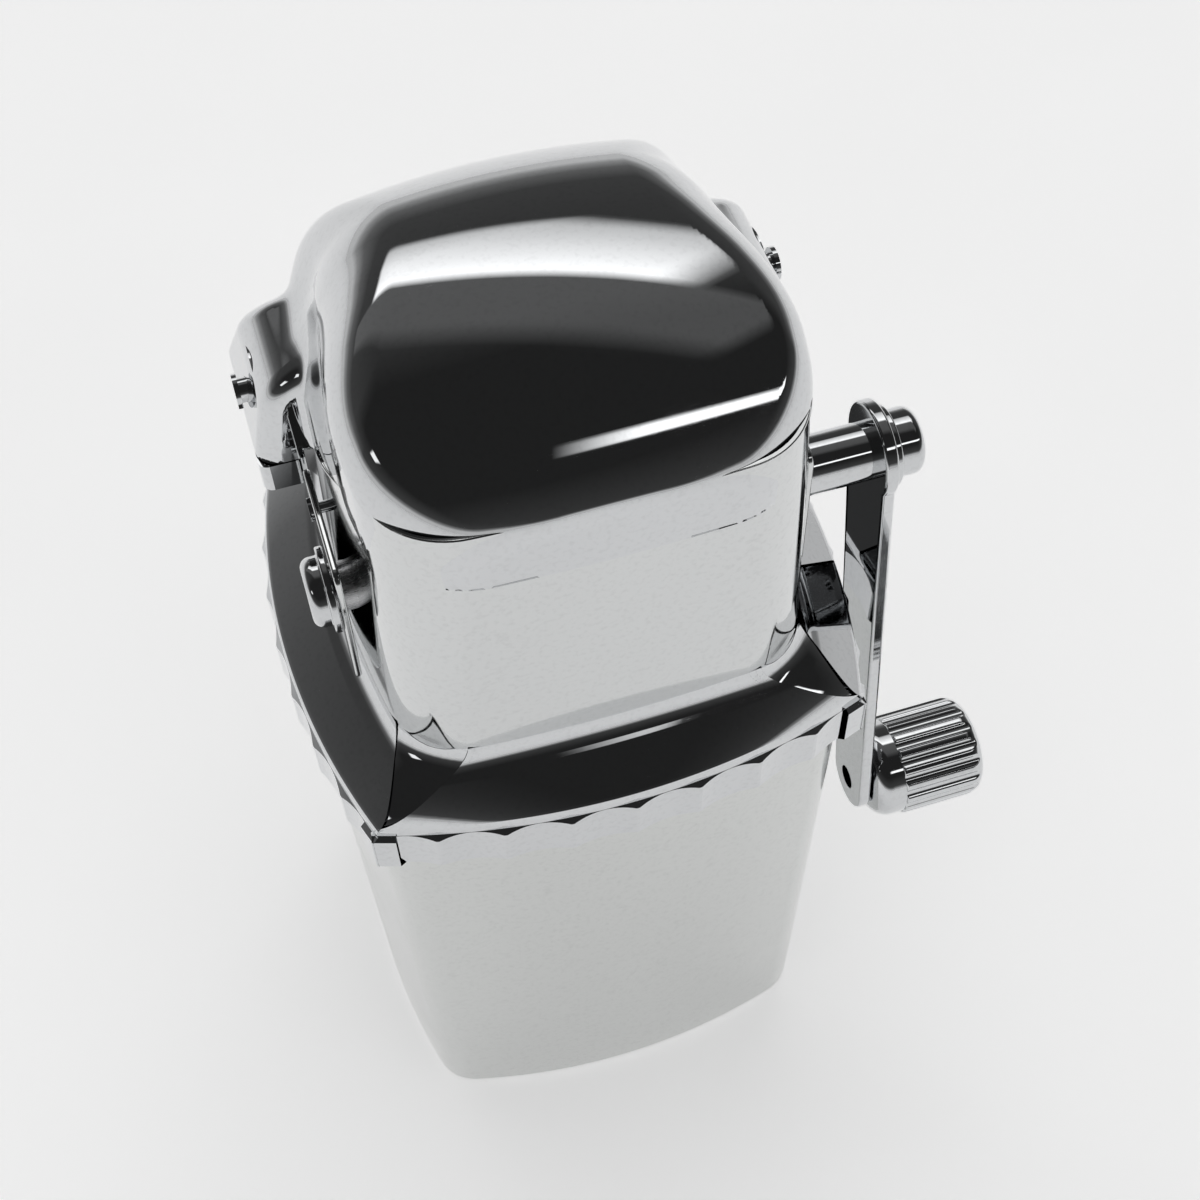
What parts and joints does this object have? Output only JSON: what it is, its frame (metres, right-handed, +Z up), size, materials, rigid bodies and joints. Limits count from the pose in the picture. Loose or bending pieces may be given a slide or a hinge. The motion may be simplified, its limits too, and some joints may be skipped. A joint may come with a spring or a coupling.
{
  "type": "hand crank ice crusher",
  "caption": "Hand cranked ice crusher: a square tapered ice cup under a chrome head with a fluted rim, hinged lid, toothed rotor and side crank with a fluted knob.",
  "frame": {"origin": "middle of the underside of the cup's foot pad, where it stands", "axes": "+Z up, -Y towards the front panel, +X towards the crank"},
  "size_m": [0.1593, 0.1262, 0.261],
  "materials": {
    "plated_plastic": "bright chrome plating on moulded plastic",
    "polished_steel": "polished sheet",
    "bright_chrome": "mirror",
    "cast_alloy": "as cast",
    "blade_steel": "ground",
    "bush_plastic": "moulded",
    "zinc_screws": "zinc plated",
    "rubber_pad": "matt"
  },
  "bodies": {
    "cup": {"ice_cup": "plated_plastic", "base_pad": "rubber_pad"},
    "head": {"base_ring": "plated_plastic", "housing_shell": "polished_steel", "rear_cover": "plated_plastic", "crusher_chamber": "cast_alloy", "chamber_screws": "zinc_screws", "comb_screws": "zinc_screws", "fixed_comb": "blade_steel", "left_bearing": "bush_plastic", "right_bearing": "bush_plastic", "left_bearing_plate": "cast_alloy", "right_bearing_plate": "cast_alloy", "left_side_cover": "polished_steel", "right_side_cover": "polished_steel", "cover_rivets": "bright_chrome", "left_hinge_block": "plated_plastic", "right_hinge_block": "plated_plastic", "lid_pivot_screws": "bright_chrome"},
    "rotor": {"drive_shaft": "blade_steel", "rotor_blades": "blade_steel", "rotor_spacers": "bush_plastic", "shaft_cap_nut": "bright_chrome", "crank_sleeve": "bright_chrome", "crank_arm": "bright_chrome", "crank_hub_nut": "bright_chrome", "knob_pin": "blade_steel"},
    "grip": {"crank_knob": "plated_plastic", "knob_collar": "bright_chrome", "knob_end_cap": "bright_chrome"},
    "lid": {"lid_shell": "plated_plastic"}
  },
  "joints": [
    {"name": "head_lift", "type": "slide", "parent": "cup", "child": "head", "axis": [0, 0, 1], "range_m": [0, 0.06]},
    {"name": "crank_turn", "type": "hinge", "parent": "head", "child": "rotor", "pos_m": [0, -0.02, 0.195], "axis": [1, 0, 0], "continuous": true},
    {"name": "knob_spin", "type": "hinge", "parent": "rotor", "child": "grip", "pos_m": [0.082, -0.03595, 0.08697], "axis": [1, 0, 0], "continuous": true},
    {"name": "lid_open", "type": "hinge", "parent": "head", "child": "lid", "pos_m": [0, 0.02, 0.213], "axis": [-1, 0, 0], "range_deg": [0, 50]}
  ]
}
